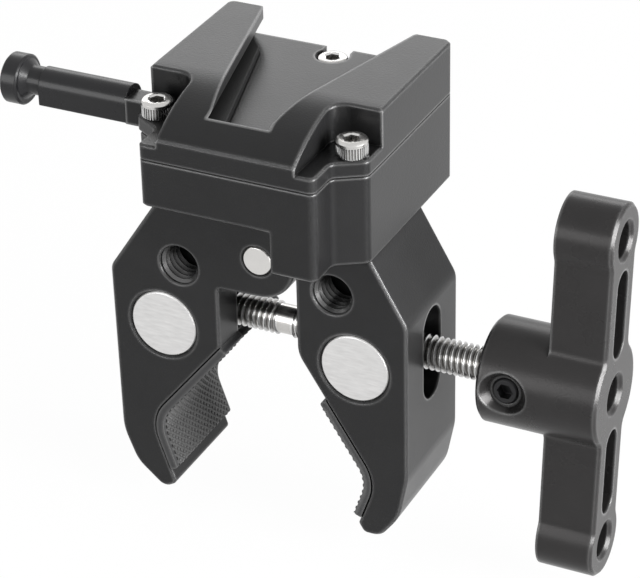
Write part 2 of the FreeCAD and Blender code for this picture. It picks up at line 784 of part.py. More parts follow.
handle = soften(handle, end_face_edge, 0.7)
for side in (1, -1):
    reach = side * lobe_reach
    handle = handle.cut(cylinder(lobe_hole_radius, (hub_left_x, 0, reach), (1, 0, 0), handle_length))
    lobe_mouth = lobe_hole_radius + lobe_hole_lead
    lead_left_x = handle_face_x - lobe_hole_lead
    right_lead = cone(lobe_hole_radius, lobe_mouth, (lead_left_x, 0, reach), (1, 0, 0), lobe_hole_lead)
    left_lead = cone(lobe_mouth, lobe_hole_radius, (bar_left_x, 0, reach), (1, 0, 0), lobe_hole_lead)
    handle = handle.cut(right_lead)
    handle = handle.cut(left_lead)
    inner = side * (arm_slot_inner + arm_slot_half_width)
    outer = side * (arm_slot_outer - arm_slot_half_width)
    slot_low = min(inner, outer)
    slot_high = max(inner, outer)
    slot_left_x = bar_left_x - 0.5
    slot_run = bar_thickness + overrun
    slot_right_x = slot_left_x + slot_run
    slot = box((slot_left_x, -arm_slot_half_width, slot_low), (slot_right_x, arm_slot_half_width, slot_high))
    slot = slot.fuse(cylinder(arm_slot_half_width, (slot_left_x, 0, slot_low), (1, 0, 0), slot_run))
    slot = slot.fuse(cylinder(arm_slot_half_width, (slot_left_x, 0, slot_high), (1, 0, 0), slot_run))
    handle = handle.cut(slot)
handle = handle.cut(cylinder(right_thread_radius + rod_hub_gap, (hub_left_x, 0, 0), (1, 0, 0), handle_length))
hub_lead = 1.0
hub_mouth_start = (handle_face_x - hub_lead, 0, 0)
handle = handle.cut(cone(right_thread_radius, right_thread_radius + hub_lead, hub_mouth_start, (1, 0, 0), hub_lead))
set_screw_reach = hub_radius + overrun
set_screw_start = (set_screw_x, -set_screw_reach, 0)
set_screw_hole = cylinder(set_screw_radius + set_screw_gap, set_screw_start, (0, 1, 0), set_screw_reach)
sink = cone(5.9, set_screw_radius + 0.7, (set_screw_x, -hub_radius - 0.4, 0), (0, 1, 0), 2.9)
handle = handle.cut(set_screw_hole)
handle = handle.cut(sink)

set_screw_seat = right_thread_radius + rod_hub_gap
set_screw_length = 6.0
set_screw = cylinder(set_screw_radius, (set_screw_x, -set_screw_seat, 0), (0, -1, 0), set_screw_length)
set_screw = soften(set_screw, lambda edge: flat_at_y(edge, -set_screw_seat - set_screw_length), 0.4)
key = []
for index in range(6):
    angle = math.radians(60 * index)
    key.append((set_screw_x + 1.85 * math.cos(angle), 1.85 * math.sin(angle), 0))
key_cut = across(key, -set_screw_seat - set_screw_length - 1, -set_screw_seat - set_screw_length + 2.5)
set_screw = set_screw.cut(key_cut)

for name, shape in (("t_handle", handle), ("handle_set_screw", set_screw)):
    shape.rotate(Vector(0, 0, 0), Vector(1, 0, 0), handle_turn_deg)
    shape.translate(Vector(0, 0, rod_z))
    save(shape, name)


# Release lever, its sleeve and its pivot pin.
lever_top_z = lever_plate_z + lever_plate_thickness
lever_hub_start = (lever_pivot_x, lever_pivot_y, lever_plate_z)
lever_hub = cylinder(lever_hub_radius, lever_hub_start, (0, 0, 1), lever_plate_thickness)
tongue_rear_y = tongue_front_y + tongue_depth
tenon_length = 12.0
lever_arm = upright([
    (peg_x + 1.3, peg_y - 1.6, 1.0),
    (peg_x + 1.6, peg_y + 1.6, 1.0),
    (lever_pivot_x + 2.2, lever_pivot_y + 1.6, 0),
    (lever_pivot_x - 1.9, lever_pivot_y, 0),
    (lever_pivot_x - 1.1, lever_pivot_y - 7.0, 0),
    (lever_pivot_x - 2.3, tongue_rear_y - 0.2, 0),
    (lever_pivot_x - 3.1, tongue_rear_y - 0.2, 0),
    (lever_pivot_x - 3.1, screw_side_y + 0.3, 0),
    (lever_pivot_x - 1.1, screw_side_y + 0.5, 0),
    (lever_pivot_x + 1.7, lever_pivot_y - 6.4, 2.0),
    (peg_x - 2.0, peg_y - 1.6, 0),
], lever_plate_z, lever_top_z)
tongue = upright([
    (lever_pivot_x - 1.0, screw_side_y + 0.6, 0.3),
    (lever_pivot_x - 3.3, screw_side_y, 0),
    (lever_pivot_x - 4.6, tongue_front_y, 0.8),
    (sleeve_inner_x - tenon_length, tongue_front_y, 0),
    (sleeve_inner_x - tenon_length, tongue_rear_y, 0),
    (lever_pivot_x - 3.7, tongue_rear_y, 0),
    (lever_pivot_x - 1.0, tongue_rear_y - 0.4, 0.3),
], tongue_low_z, tongue_high_z)
tenon_inset = 1.2
tenon_end_x = sleeve_inner_x - tenon_length
tenon_room = box((tenon_end_x - overrun, tongue_front_y - overrun, tongue_low_z - overrun),
                 (sleeve_inner_x, tongue_rear_y + overrun, tongue_high_z + overrun))
tenon_keep = box((tenon_end_x, tongue_front_y + tenon_inset, tongue_low_z + tenon_inset),
                 (sleeve_inner_x, tongue_rear_y - 0.4, tongue_high_z - tenon_inset))
tongue = tongue.cut(tenon_room.cut(tenon_keep))
peg = cylinder(peg_radius, (peg_x, peg_y, lever_plate_z), (0, 0, 1), peg_top_z - lever_plate_z)
lever = lever_hub.fuse([lever_arm, tongue, peg]).removeSplitter()
lever_bore_radius = lever_pin_radius + hinge_pin_gap
lever_bore_start = (lever_pivot_x, lever_pivot_y, seam_z)
lever = lever.cut(cylinder(lever_bore_radius, lever_bore_start, (0, 0, 1), plate_height))
save(lever, "release_lever")

sleeve_rear_y = tongue_front_y + sleeve_depth
sleeve_mid_y = tongue_front_y + sleeve_depth / 2.0
sleeve_profile = [
    (tongue_front_y, tongue_low_z, 0.5),
    (sleeve_rear_y, tongue_low_z, 0.5),
    (sleeve_rear_y, tongue_low_z + sleeve_height, 3.7),
    (tongue_front_y, tongue_low_z + sleeve_height, 3.7),
]
sleeve = along(sleeve_profile, sleeve_outer_x, sleeve_inner_x)
disc_z = tongue_low_z + sleeve_height / 2.0
neck_z = disc_z + 0.3
neck_overlap = 1.0
neck_length = sleeve_outer_x - disc_right_x + 2 * neck_overlap
neck_flare_size = 1.4
neck = cylinder(neck_radius, (disc_right_x - neck_overlap, sleeve_mid_y, neck_z), (1, 0, 0), neck_length)
neck_flare = cone(neck_radius + neck_flare_size, neck_radius, (disc_right_x, sleeve_mid_y, neck_z),
                  (1, 0, 0), neck_flare_size)
disc = cylinder(disc_radius, (disc_left_x, sleeve_mid_y, disc_z), (1, 0, 0), disc_right_x - disc_left_x)


def disc_rim(edge):
    return flat_at_x(edge, disc_left_x) or flat_at_x(edge, disc_right_x)


disc = soften(disc, disc_rim, 0.4)
sleeve = sleeve.fuse([neck, neck_flare, disc]).removeSplitter()
sleeve = sleeve.cut(tenon_keep)
save(sleeve, "lever_sleeve")

pin_low_z = seam_z - pin_depth
pin_start = (lever_pivot_x, lever_pivot_y, pin_low_z)
pivot_pin = cylinder(lever_pin_radius, pin_start, (0, 0, 1), pin_depth + pin_reach)
save(pivot_pin, "lever_pivot_pin")


# Latch bar: it slides left into the plate when the lever's peg pushes it.
latch = upright(latch_corners, seam_z + 0.1, latch_top_z)
under_relief = upright([
    (-body_half_width, room_front_y - 1.0, 0),
    (0.0, room_front_y - 1.0, 0),
    (0.0, room_rear_y + 0.7, 0),
    (-body_half_width, room_rear_y + 0.7, 0),
], seam_z, lever_top_z + 0.3)
latch = latch.cut(under_relief)
peg_slack = peg_radius + latch_gap
peg_room = upright([
    (peg_x - peg_slack, peg_y - peg_sweep - peg_slack, peg_slack * 0.9),
    (peg_x + peg_slack, peg_y - peg_sweep - peg_slack, peg_slack * 0.9),
    (peg_x + peg_slack, peg_y + peg_slack, peg_slack * 0.9),
    (peg_x - peg_slack, peg_y + peg_slack, peg_slack * 0.9),
], seam_z, peg_top_z + 0.3)
latch = latch.cut(peg_room)
for end_x, centre_y in ((front_spring_end_x, front_spring_y), (rear_spring_end_x, rear_spring_y)):
    room_start = (end_x - spring_length, centre_y, spring_z)
    latch = latch.cut(cylinder(spring_room_radius, room_start, (1, 0, 0), spring_length))
save(latch, "latch_bar")


def compression_spring(seat_x, centre_y, end_x):
    """Hollow sleeve that holds the coil's place between its seat in the plate and the latch bar."""
    sleeve_wall = cylinder(spring_radius, (seat_x, centre_y, spring_z), (1, 0, 0), end_x - seat_x)
    inner_radius = spring_radius - 2 * spring_wire_radius
    inside = cylinder(inner_radius, (seat_x - 1, centre_y, spring_z), (1, 0, 0), end_x - seat_x + 2)
    return sleeve_wall.cut(inside)


save(compression_spring(front_spring_seat_x, front_spring_y, front_spring_end_x), "latch_spring_front")
save(compression_spring(rear_spring_seat_x, rear_spring_y, rear_spring_end_x), "latch_spring_rear")
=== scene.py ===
# %% [markdown]
# # A crab clamp, dressed around its CAD frame
# The clamp grips a tube between two padded jaws, which one rod with two threads draws together. A V-shaped
# recess on top takes an accessory, and the lever on the left draws back the latch that locks it in there.
# The CAD model gives every size and every moving body, so this script only adds what CAD left plain: the
# threads, the screw heads, the knurled pads, the coils of the latch springs, the finishes, the light and
# the camera.

# %% Load the frame
import json
import math

import bmesh
import bpy
from mathutils import Matrix, Vector
from mathutils.bvhtree import BVHTree


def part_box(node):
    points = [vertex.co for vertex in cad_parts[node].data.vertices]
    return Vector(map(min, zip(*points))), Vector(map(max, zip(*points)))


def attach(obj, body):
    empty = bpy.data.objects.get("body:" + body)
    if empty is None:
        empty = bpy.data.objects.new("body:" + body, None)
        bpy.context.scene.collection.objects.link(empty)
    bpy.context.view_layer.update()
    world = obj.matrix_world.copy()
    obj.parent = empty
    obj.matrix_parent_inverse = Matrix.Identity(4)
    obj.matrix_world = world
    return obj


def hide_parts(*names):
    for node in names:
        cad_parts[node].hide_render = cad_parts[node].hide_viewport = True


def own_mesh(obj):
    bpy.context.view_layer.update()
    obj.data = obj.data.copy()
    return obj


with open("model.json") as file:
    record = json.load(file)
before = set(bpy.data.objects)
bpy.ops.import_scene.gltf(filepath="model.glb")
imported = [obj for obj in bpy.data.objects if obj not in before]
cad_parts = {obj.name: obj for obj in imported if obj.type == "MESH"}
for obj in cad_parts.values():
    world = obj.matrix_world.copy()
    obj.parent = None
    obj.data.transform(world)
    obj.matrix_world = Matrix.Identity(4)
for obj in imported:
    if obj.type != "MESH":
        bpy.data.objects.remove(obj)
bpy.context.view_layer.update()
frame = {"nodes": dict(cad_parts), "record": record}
MM = 0.001

# %% [markdown]
# ## The camera
# The photograph was taken with a long lens from the front right, a little above. A few numbers describe it:
# how far the camera turns (azimuth, elevation and a small roll, in radians), its focal length in pixels, the
# pixel its axis goes through, and where it sees one point of the clamp. They could be found by eye, but here
# they come from a fit to the clamp's own edges, so the render lies on the photograph without moving anything.

# %% What the fit found
IMAGE_WIDTH = 640
IMAGE_HEIGHT = 578
AZIMUTH = 0.46168
ELEVATION = 0.52701
ROLL = -0.02340
FOCAL_PIXELS = 2756.8
CENTRE_U = 318.2
CENTRE_V = 289.6
AIM_POINT = Vector((23.07, -13.6, 28.0)) * MM
AIM_POINT_SEEN = Vector((7.793, -17.501, -603.397)) * MM
print("the camera stands", round(-AIM_POINT_SEEN.z / MM), "mm from the clamp")


# %% Turn the angles into the camera's own directions
def camera_axes():
    """The camera's right, up and back directions in the clamp's frame."""
    right = Vector((math.cos(AZIMUTH), math.sin(AZIMUTH), 0.0))
    back = Vector((
        math.sin(AZIMUTH) * math.cos(ELEVATION),
        -math.cos(AZIMUTH) * math.cos(ELEVATION),
        math.sin(ELEVATION),
    ))
    up = back.cross(right)
    rolled_right = right * math.cos(ROLL) + up * math.sin(ROLL)
    rolled_up = up * math.cos(ROLL) - right * math.sin(ROLL)
    return rolled_right, rolled_up, back


# %% Place the camera
SENSOR_WIDTH = 36.0
CLIP_START = 10 * MM

turn = Matrix(camera_axes())
place = AIM_POINT - turn.transposed() @ AIM_POINT_SEEN
camera_data = bpy.data.cameras.new("photo_camera")
camera_data.sensor_fit = "HORIZONTAL"
camera_data.sensor_width = SENSOR_WIDTH
camera_data.lens = FOCAL_PIXELS / IMAGE_WIDTH * SENSOR_WIDTH
camera_data.shift_x = (IMAGE_WIDTH / 2 - CENTRE_U) / IMAGE_WIDTH
camera_data.shift_y = (CENTRE_V - IMAGE_HEIGHT / 2) / IMAGE_WIDTH
camera_data.clip_start = CLIP_START
camera = bpy.data.objects.new("photo_camera", camera_data)
bpy.context.scene.collection.objects.link(camera)
camera.matrix_world = Matrix.Translation(place) @ turn.transposed().to_4x4()
bpy.context.scene.camera = camera
print("camera at", [round(v, 3) for v in place], "lens", round(camera_data.lens, 1), "mm")

# %% [markdown]
# ## Helpers for new pieces
# A bmesh becomes an object that sits at the origin, with its place in its vertices, as a CAD node has.
# Every piece then rides on a CAD body and gets one of the finishes made below.

# %% Turn a bmesh into a piece
DOUBLES_WITHIN = 0.001 * MM
SHARP_ANGLE = math.radians(32)


def finish_piece(bm, name, body, material, replaced=(), smooth=True):
    """Close the bmesh into an object, set its finish and let it ride on its body."""
    bmesh.ops.remove_doubles(bm, verts=bm.verts, dist=DOUBLES_WITHIN)
    bmesh.ops.recalc_face_normals(bm, faces=bm.faces)
    mesh = bpy.data.meshes.new(name)
    bm.to_mesh(mesh)
    bm.free()
    piece = bpy.data.objects.new(name, mesh)
    bpy.context.scene.collection.objects.link(piece)
    piece.data.materials.append(material)
    if smooth:
        piece.data.shade_smooth()
        piece.data.set_sharp_from_angle(angle=SHARP_ANGLE)
    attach(piece, body)
    if replaced:
        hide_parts(*replaced)
    print(name, "has", len(mesh.polygons), "faces")
    return piece


def middle_of(node):
    """The middle of a CAD node's box."""
    low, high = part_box(node)
    return (low + high) / 2


# %% [markdown]
# ## How a finish is made
# No surface of the clamp is quite even. Its shine and colour drift in soft clouds, and it has a fine grain.
# Its outer edges get painted highlights, which are pale lines standing in for light caught by the edges. Its
# creases get painted shade that is nearly black. Pictures of metal could carry all that, but noise on Object
# coordinates needs no unwrapping and stays in place on pieces that move. So a few small helpers each add one
# of these traits, and make_finish joins them.

# %% Add a node in one line
def add(tree, kind, **inputs):
    """Add a shader node and set its sockets by name."""
    node = tree.nodes.new(kind)
    for key, value in inputs.items():
        node.inputs[key.replace("_", " ")].default_value = value
    return node


# %% Painted edge highlights and painted crease shade
# Ambient occlusion tells how much of the room round a point is free. Cast inwards it drops near an outer
# edge, and cast outwards it drops in a crease. The first mask paints a pale highlight along the outer edges,
# and the second paints near-black shade into the creases.
EDGE_REACH = 0.7 * MM
HIGHLIGHT_STARTS_AT = 0.93
HIGHLIGHT_FULL_AT = 0.60
CREASE_REACH = 1.5 * MM
CREASE_DEEPEST = 0.50
CREASE_OPEN = 0.96
CREASE_SHADE_COLOUR = (0.001, 0.001, 0.001, 1)
SHADE_SAMPLES = 4


def paint_edge_highlights_and_crease_shade(tree, colour, edge_highlight, crease_left):
    """Paint a pale highlight onto the outer edges and paint shade into the creases.

    The third argument is the grey of the painted edge highlight. crease_left is the share of the colour that
    the deepest crease keeps under its painted shade.
    """
    inside = add(tree, "ShaderNodeAmbientOcclusion", Distance=EDGE_REACH)
    inside.inside = True
    inside.samples = SHADE_SAMPLES
    edge_highlight_mask = add(
        tree, "ShaderNodeMapRange", From_Min=HIGHLIGHT_STARTS_AT, From_Max=HIGHLIGHT_FULL_AT, To_Max=1.0)
    tree.links.new(inside.outputs["AO"], edge_highlight_mask.inputs["Value"])
    lighter = tree.nodes.new("ShaderNodeMix")
    lighter.data_type = "RGBA"
    lighter.inputs["B"].default_value = (edge_highlight, edge_highlight, edge_highlight, 1)
    tree.links.new(edge_highlight_mask.outputs["Result"], lighter.inputs["Factor"])
    tree.links.new(colour, lighter.inputs["A"])
    outside = add(tree, "ShaderNodeAmbientOcclusion", Distance=CREASE_REACH)
    outside.samples = SHADE_SAMPLES
    crease_shade_mask = add(
        tree, "ShaderNodeMapRange", From_Min=CREASE_DEEPEST, From_Max=CREASE_OPEN, To_Min=crease_left)
    tree.links.new(outside.outputs["AO"], crease_shade_mask.inputs["Value"])
    darker = tree.nodes.new("ShaderNodeMix")
    darker.data_type = "RGBA"
    darker.inputs["A"].default_value = CREASE_SHADE_COLOUR
    tree.links.new(crease_shade_mask.outputs["Result"], darker.inputs["Factor"])
    tree.links.new(lighter.outputs["Result"], darker.inputs["B"])
    return darker.outputs["Result"]


# %% Clouds in the shine and in the colour
PLAIN_BELOW = 0.3
DUSTY_ABOVE = 0.75


def uneven_roughness(tree, cloud, roughness, spread):
    """A roughness that drifts by spread to both sides."""
    drift = add(tree, "ShaderNodeMapRange", To_Min=roughness - spread, To_Max=roughness + spread)
    tree.links.new(cloud.outputs["Fac"], drift.inputs["Value"])
    return drift.outputs["Result"]


def clouded_colour(tree, cloud, colour, dust):
    """The plain colour, with clouds in it that are dust times as light."""
    ramp = tree.nodes.new("ShaderNodeValToRGB")
    plain, dusty = ramp.color_ramp.elements
    plain.position = PLAIN_BELOW
    plain.color = (*colour, 1)
    dusty.position = DUSTY_ABOVE
    dusty.color = (*[channel * dust for channel in colour], 1)
    tree.links.new(cloud.outputs["Fac"], ramp.inputs["Fac"])
    return ramp.outputs["Color"]


# %% Grain, and edges that catch the light
# The bevel shader bends the normal within a few tenths of a millimetre of a CAD edge, as a rounding does.
GRAIN_STRENGTH = 0.35
BEVEL_SAMPLES = 6


def grained_normal(tree, mapping, grain_scale, grain_depth, edge):
    """A normal with a fine grain. edge is the radius that sharp edges seem to be rounded with, or 0."""
    grain = add(tree, "ShaderNodeTexNoise", Scale=grain_scale, Detail=2.0, Roughness=0.5)
    tree.links.new(mapping.outputs["Vector"], grain.inputs["Vector"])
    bump = add(tree, "ShaderNodeBump", Strength=GRAIN_STRENGTH, Distance=grain_depth)
    tree.links.new(grain.outputs["Fac"], bump.inputs["Height"])
    if edge > 0:
        rounded = add(tree, "ShaderNodeBevel", Radius=edge)
        rounded.samples = BEVEL_SAMPLES
        tree.links.new(rounded.outputs["Normal"], bump.inputs["Normal"])
    return bump.outputs["Normal"]


# %% Join the traits into one finish
COAT_ROUGHNESS = 0.12


def make_finish(name, colour, metallic, roughness, spread, grain_scale, grain_depth, edge=0.0, coat=0.0,
                dust=1.15, stretch=(1.0, 1.0, 1.0), cloud_scale=90.0, edge_highlight=0.0, crease_left=0.05,
                specular=0.5):
    """A metal, rubber or plastic finish with all these traits.

    spread is how far the roughness drifts, and dust how many times lighter the clouds are. stretch squeezes
    the noise along an axis, so values below 1 draw it out into brush marks.
    """
    material = bpy.data.materials.new(name)
    material.use_nodes = True
    tree = material.node_tree
    shader = tree.nodes["Principled BSDF"]
    shader.inputs["Metallic"].default_value = metallic
    shader.inputs["Specular IOR Level"].default_value = specular
    shader.inputs["Coat Weight"].default_value = coat
    shader.inputs["Coat Roughness"].default_value = COAT_ROUGHNESS
    coordinates = tree.nodes.new("ShaderNodeTexCoord")
    mapping = add(tree, "ShaderNodeMapping", Scale=stretch)
    tree.links.new(coordinates.outputs["Object"], mapping.inputs["Vector"])
    cloud = add(tree, "ShaderNodeTexNoise", Scale=cloud_scale, Detail=4.0, Roughness=0.6)
    tree.links.new(mapping.outputs["Vector"], cloud.inputs["Vector"])
    surface = clouded_colour(tree, cloud, colour, dust)
    # Painted highlights along the outer edges and painted shade in the creases.
    if edge_highlight > 0:
        surface = paint_edge_highlights_and_crease_shade(tree, surface, edge_highlight, crease_left)
    tree.links.new(surface, shader.inputs["Base Color"])
    tree.links.new(uneven_roughness(tree, cloud, roughness, spread), shader.inputs["Roughness"])
    normal = grained_normal(tree, mapping, grain_scale, grain_depth, edge)
    tree.links.new(normal, shader.inputs["Normal"])
    print("finish", name)
    return material


# %% [markdown]
# ## Black metal
# The body, plate, jaws, lever and handle have a satin black coating: dark, but mirroring soft light in broad
# bands. Thin pale lines along their edges are painted highlights, and their creases get painted shade. Half
# metallic and only a little specular, they keep their black in the shade. The handle is a little lighter. The
# thread in the accessory holes is cut, so it shines more; its crests get painted highlights and its roots
# painted shade. The latch bar and the handle's set screw are small plain black pieces without painted edge
# highlights or painted crease shade.

# %% Mix the blacks
# These blacks paint pale highlights along their edges and shade into their creases.
black_casting = make_finish(
    "satin_black_casting", colour=(0.018, 0.018, 0.0185), metallic=0.5, roughness=0.30, spread=0.05,
    grain_scale=2600.0, grain_depth=0.10 * MM, edge=0.5 * MM, edge_highlight=0.19, specular=0.3)
black_handle = make_finish(
    "satin_black_handle", colour=(0.024, 0.023, 0.023), metallic=0.5, roughness=0.28, spread=0.05,
    grain_scale=2600.0, grain_depth=0.06 * MM, edge=0.5 * MM, edge_highlight=0.14, specular=0.3)
cut_black = make_finish(
    "cut_black_thread", colour=(0.035, 0.035, 0.036), metallic=0.8, roughness=0.26, spread=0.05,
    grain_scale=2600.0, grain_depth=0.03 * MM, edge_highlight=0.13, crease_left=0.1)
# Darker and duller than the casting, this black is partly the latch's own and partly painted shade.
latch_black_and_shade = make_finish(
    "latch_black_and_shade", colour=(0.010, 0.010, 0.010), metallic=0.0, roughness=0.45, spread=0.05,
    grain_scale=2600.0, grain_depth=0.03 * MM, edge=0.3 * MM, specular=0.15)
black_oxide = make_finish(
    "black_oxide_steel", colour=(0.020, 0.020, 0.021), metallic=0.7, roughness=0.30, spread=0.05,
    grain_scale=1500.0, grain_depth=0.02 * MM, edge=0.2 * MM)

# %% [markdown]
# ## Bright steel
# The pins are turned and smooth. The rod and the cap screws are cut. Their crests get strong painted
# highlights and their roots darker painted shade, which give the bright crests over dark roots. The flat ends
# of the barrel nuts are brushed: their noise is fine, and stretched one way into short marks.

# %% Mix the steels
turned_steel = make_finish(
    "turned_steel", colour=(0.60, 0.59, 0.575), metallic=1.0, roughness=0.24, spread=0.06,
    grain_scale=900.0, grain_depth=0.02 * MM, edge=0.2 * MM)
# Painted highlights on the crests and painted shade in the roots.
cut_steel = make_finish(
    "cut_steel", colour=(0.50, 0.49, 0.475), metallic=1.0, roughness=0.25, spread=0.07,
    grain_scale=900.0, grain_depth=0.02 * MM, edge_highlight=0.80, crease_left=0.4)
nut_steel = make_finish(
    "brushed_nut_steel", colour=(0.60, 0.595, 0.59), metallic=1.0, roughness=0.36, spread=0.10,
    grain_scale=1100.0, grain_depth=0.06 * MM, edge=0.3 * MM, dust=1.20, stretch=(0.3, 1.0, 1.8),
    cloud_scale=900.0)

# %% [markdown]
# ## Rubber and the grip
# The pads are matt rubber. Paler rims on their diamonds are painted highlights, and the grooves between them
# get deep painted shade. The sleeve of the lever is a smooth, glossy moulding, so it gets a thin clear coat
# and a low roughness.

# %% Mix the rubber and the grip
# The pad's pale rims are painted highlights and its dark grooves painted shade.
pad_rubber = make_finish(
    "knurled_rubber", colour=(0.016, 0.016, 0.017), metallic=0.0, roughness=0.50, spread=0.08,
    grain_scale=1800.0, grain_depth=0.04 * MM, edge_highlight=0.06)
gloss_grip = make_finish(
    "gloss_black_grip", colour=(0.010, 0.010, 0.011), metallic=0.0, roughness=0.28, spread=0.06,
    grain_scale=500.0, grain_depth=0.03 * MM, edge=0.4 * MM, coat=0.1, specular=0.25)

# %% [markdown]
# ## Finishes on the CAD nodes
# A CAD node keeps its mesh, and only its material changes. The loop gives each node the finish of its slot.
# The latch bar gets its own black, darker and duller than the casting. This is partly its own black steel and
# partly painted shade for the deep shade of its pocket, and it has no painted edge highlights.

# %% Assign the finishes
FINISH_OF_SLOT = {
    "black_metal": black_casting,
    "black_handle": black_handle,
    "bright_steel": turned_steel,
    "nut_steel": nut_steel,
    "black_rubber": pad_rubber,
    "gloss_grip": gloss_grip,
    "black_steel": black_oxide,
}
slot_of_node = {entry["node"]: entry["material_slot"] for entry in frame["record"]["subparts"]}
for node_name, node in frame["nodes"].items():
    node.data.materials.clear()
    node.data.materials.append(FINISH_OF_SLOT[slot_of_node[node_name]])
frame["nodes"]["latch_bar"].data.materials[0] = latch_black_and_shade
print("dressed", len(frame["nodes"]), "CAD nodes")

# %% [markdown]
# ## The threaded rod
# The rod has a right-hand thread on the handle's side and a left-hand one on the far side, with a plain waist
# between them. A bump could suggest a thread, but its outline shows against the white background, so it is
# real shape: one small profile, wound round the rod. The profile spans exactly one pitch, so a spin that
# climbs one pitch a turn makes each turn meet the last, and merging doubles joins them. Two cuts square off
# the ragged ends, and filling them closes the shell.

# %% Wind one length of thread
ROD_PITCH = 1.411 * MM
HALF_FLAT = 0.06
THREAD_STEPS = 32
TURNS_MEET_WITHIN = 0.002 * MM


def wind_thread(bm, start_x, end_x, crest, root, hand):
    """Add a closed threaded cylinder along X to an empty bmesh. hand is 1 for right-hand, -1 for left-hand.

    HALF_FLAT is half the width of the flats at root and crest, as a share of the pitch.
    """
    turns = math.ceil((end_x - start_x) / ROD_PITCH) + 2
    profile = [
        (0.0, root),
        (HALF_FLAT, root),
        (0.5 - HALF_FLAT, crest),
        (0.5 + HALF_FLAT, crest),
        (1.0 - HALF_FLAT, root),
        (1.0, root),
    ]
    first_x = start_x - ROD_PITCH
    verts = [bm.verts.new((first_x + share * ROD_PITCH, 0.0, radius)) for share, radius in profile]
    edges = [bm.edges.new((verts[i], verts[i + 1])) for i in range(len(verts) - 1)]
    bmesh.ops.spin(
        bm, geom=verts + edges, cent=(0, 0, 0), axis=(1, 0, 0), dvec=(ROD_PITCH / THREAD_STEPS, 0, 0),
        angle=hand * math.tau * turns, steps=THREAD_STEPS * turns, use_merge=False,
    )
    bmesh.ops.remove_doubles(bm, verts=bm.verts, dist=TURNS_MEET_WITHIN)
    for limit, outwards in ((start_x, -1), (end_x, 1)):
        geometry = list(bm.verts) + list(bm.edges) + list(bm.faces)
        cut = bmesh.ops.bisect_plane(
            bm, geom=geometry, plane_co=(limit, 0, 0), plane_no=(outwards, 0, 0), clear_outer=True)
        rim = [item for item in cut["geom_cut"] if isinstance(item, bmesh.types.BMEdge)]
        bmesh.ops.holes_fill(bm, edges=rim, sides=0)


def merge_into(target, source):
    """Copy one bmesh into another through a scratch mesh."""
    scratch = bpy.data.meshes.new("scratch")
    source.to_mesh(scratch)
    source.free()
    target.from_mesh(scratch)
    bpy.data.meshes.remove(scratch)


# %% Build the rod in three lengths
RIGHT_CREST = 3.95 * MM
RIGHT_ROOT = 3.13 * MM
LEFT_CREST = 3.87 * MM
LEFT_ROOT = 3.08 * MM
WAIST_RADIUS = 3.4 * MM
WAIST_START = -1.4 * MM
RIGHT_START = 2.9 * MM
WAIST_SIDES = 48

rod_low, rod_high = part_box("clamp_rod")
rod_middle = middle_of("clamp_rod")
rod_mesh = bmesh.new()
for start_x, end_x, crest, root, hand in (
    (RIGHT_START, rod_high.x, RIGHT_CREST, RIGHT_ROOT, 1),
    (rod_low.x, WAIST_START, LEFT_CREST, LEFT_ROOT, -1),
):
    stretch = bmesh.new()
    wind_thread(stretch, start_x, end_x, crest, root, hand)
    merge_into(rod_mesh, stretch)
waist = bmesh.new()
bmesh.ops.create_cone(
    waist, cap_ends=True, segments=WAIST_SIDES, radius1=WAIST_RADIUS, radius2=WAIST_RADIUS,
    depth=RIGHT_START - WAIST_START)
bmesh.ops.rotate(waist, cent=(0, 0, 0), matrix=Matrix.Rotation(math.pi / 2, 3, "Y"), verts=waist.verts)
bmesh.ops.translate(waist, vec=((RIGHT_START + WAIST_START) / 2, 0, 0), verts=waist.verts)
merge_into(rod_mesh, waist)
bmesh.ops.translate(rod_mesh, vec=(0, rod_middle.y, rod_middle.z), verts=rod_mesh.verts)
finish_piece(rod_mesh, "threaded_rod", "rod", cut_steel, ["clamp_rod"])

# %% [markdown]
# ## Threads in the accessory holes
# Each jaw has a 3/8 inch hole in its front face. The CAD wall is the thread's outer radius, so the hole
# itself stays as it is, and the thread is one ridge with sloping flanks, wound inwards from that wall. A
# thread cut into the jaw's own mesh would look the same and would have to replace the whole jaw.

# %% Wind a ridge in each hole
RIDGE_WALL = 4.74 * MM
RIDGE_TIP = 4.1 * MM
RIDGE_PITCH = 1.5875 * MM
RIDGE_FLANK = 0.42 * RIDGE_PITCH
RIDGE_FLAT = 0.12 * RIDGE_PITCH
RIDGE_TURNS = 4.6
RIDGE_STEPS = 28
RIDGE_INSET = 0.35 * MM


def wind_ridge(name, centre, body):
    """A helical ridge in a hole. Both holes open at the front face of the jaws, whose y is the same."""
    front_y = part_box("moving_jaw")[0].y
    bm = bmesh.new()
    section_points = [
        (RIDGE_WALL, 0.0),
        (RIDGE_TIP, RIDGE_FLANK),
        (RIDGE_TIP, RIDGE_FLANK + RIDGE_FLAT),
        (RIDGE_WALL, 2 * RIDGE_FLANK + RIDGE_FLAT),
    ]
    verts = [bm.verts.new((radius, rise, 0.0)) for radius, rise in section_points]
    section = bm.faces.new(verts)
    bmesh.ops.spin(
        bm, geom=[section] + list(section.edges) + verts, cent=(0, 0, 0), axis=(0, 1, 0),
        dvec=(0, RIDGE_PITCH / RIDGE_STEPS, 0), angle=math.tau * RIDGE_TURNS,
        steps=int(RIDGE_STEPS * RIDGE_TURNS), use_merge=False,
    )
    bmesh.ops.translate(bm, vec=(centre[0], front_y + RIDGE_INSET, centre[2]), verts=bm.verts)
    return finish_piece(bm, name, body, cut_black)


place_of_mount = {mount["name"]: mount["pos_m"] for mount in frame["record"]["mounts"]}
wind_ridge("fixed_jaw_hole_thread", place_of_mount["fixed_jaw_thread"], "frame")
wind_ridge("moving_jaw_hole_thread", place_of_mount["moving_jaw_thread"], "left_jaw")

